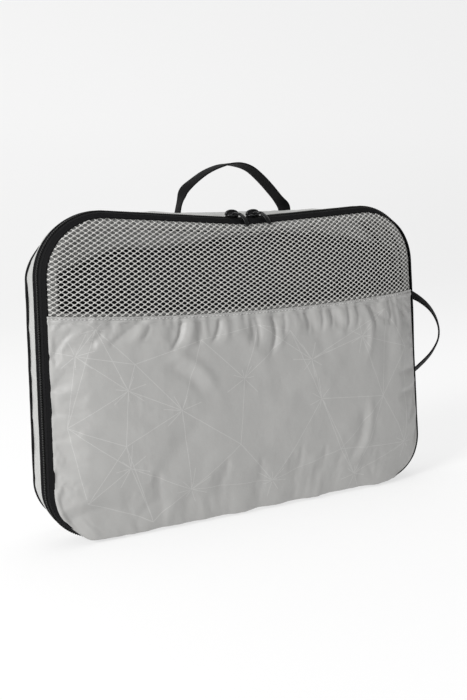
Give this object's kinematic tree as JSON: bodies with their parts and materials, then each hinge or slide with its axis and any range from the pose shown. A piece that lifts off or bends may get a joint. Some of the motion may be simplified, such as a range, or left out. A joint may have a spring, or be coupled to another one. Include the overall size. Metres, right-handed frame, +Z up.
{
  "type": "packing cube",
  "caption": "Soft zipped packing cube with a mesh window in its fold-down front, a wrap-round double-slider zip, a top handle and a side loop.",
  "frame": {"origin": "middle of the flat base, between the side seams and between the front and rear seams", "axes": "+X along the width towards the side loop, -Y out of the mesh front, +Z up; it stands on its bottom panel"},
  "size_m": [0.5153, 0.0857, 0.3862],
  "materials": {
    "shell_fabric": "matte light grey woven polyester",
    "printed_fabric": "light grey woven polyester with a faint tonal line print",
    "mesh": "light grey knitted mesh with diamond holes",
    "lining": "matte charcoal lining",
    "binding": "black woven binding tape",
    "zip_tape": "black knitted zip tape",
    "zip_coil": "black nylon coil, satin",
    "slider": "black painted die casting",
    "pull": "black moulded pull",
    "webbing": "black ribbed polyester webbing"
  },
  "bodies": {
    "box": {"back_panel": "shell_fabric", "back_lining": "lining", "gusset_strip": "shell_fabric", "bottom_panel": "shell_fabric", "hinge_strip": "shell_fabric", "rear_seam_binding": "binding", "rear_zip_tape": "zip_tape", "rear_zip_coil": "zip_coil", "zip_end_left": "binding", "zip_end_right": "binding", "top_handle_ends": "webbing", "side_loop_ends": "webbing"},
    "lid": {"front_lower_panel": "printed_fabric", "front_mesh_window": "mesh", "mesh_seam_tape": "shell_fabric", "front_seam_binding": "binding", "front_zip_tape": "zip_tape", "front_zip_coil": "zip_coil"},
    "left_slider": {"left_slider_body": "slider", "left_slider_bridge": "slider"},
    "right_slider": {"right_slider_body": "slider", "right_slider_bridge": "slider"},
    "left_pull": {"left_pull_tab": "pull"},
    "right_pull": {"right_pull_tab": "pull"},
    "top_handle": {"top_handle": "webbing"},
    "side_loop": {"side_loop": "webbing"}
  },
  "joints": [
    {"name": "lid_fold", "type": "hinge", "parent": "box", "child": "lid", "pos_m": [0, -0.03, 0.004], "axis": [1, 0, 0], "range_deg": [0, 80]},
    {"name": "left_slider_run", "type": "slide", "parent": "box", "child": "left_slider", "axis": [-0.9977, 0, 0.0682], "range_m": [0, 0.14]},
    {"name": "right_slider_run", "type": "slide", "parent": "box", "child": "right_slider", "axis": [0.9975, 0, 0.0708], "range_m": [0, 0.134]},
    {"name": "left_pull_swing", "type": "hinge", "parent": "left_slider", "child": "left_pull", "pos_m": [-0.00965, -0.017, 0.32403], "axis": [-0.3412, -0.9397, 0.0233], "range_deg": [0, 110]},
    {"name": "right_pull_swing", "type": "hinge", "parent": "right_slider", "child": "right_pull", "pos_m": [0.01564, -0.017, 0.32406], "axis": [-0.3412, -0.9397, -0.0242], "range_deg": [0, 110]},
    {"name": "top_handle_swing", "type": "hinge", "parent": "box", "child": "top_handle", "pos_m": [0, 0.0302, 0.3353], "axis": [1, 0, 0], "range_deg": [-90, 70]},
    {"name": "side_loop_swing", "type": "hinge", "parent": "box", "child": "side_loop", "pos_m": [0.2274, 0.0302, 0.1645], "axis": [0, 0, 1], "range_deg": [-45, 100]}
  ]
}
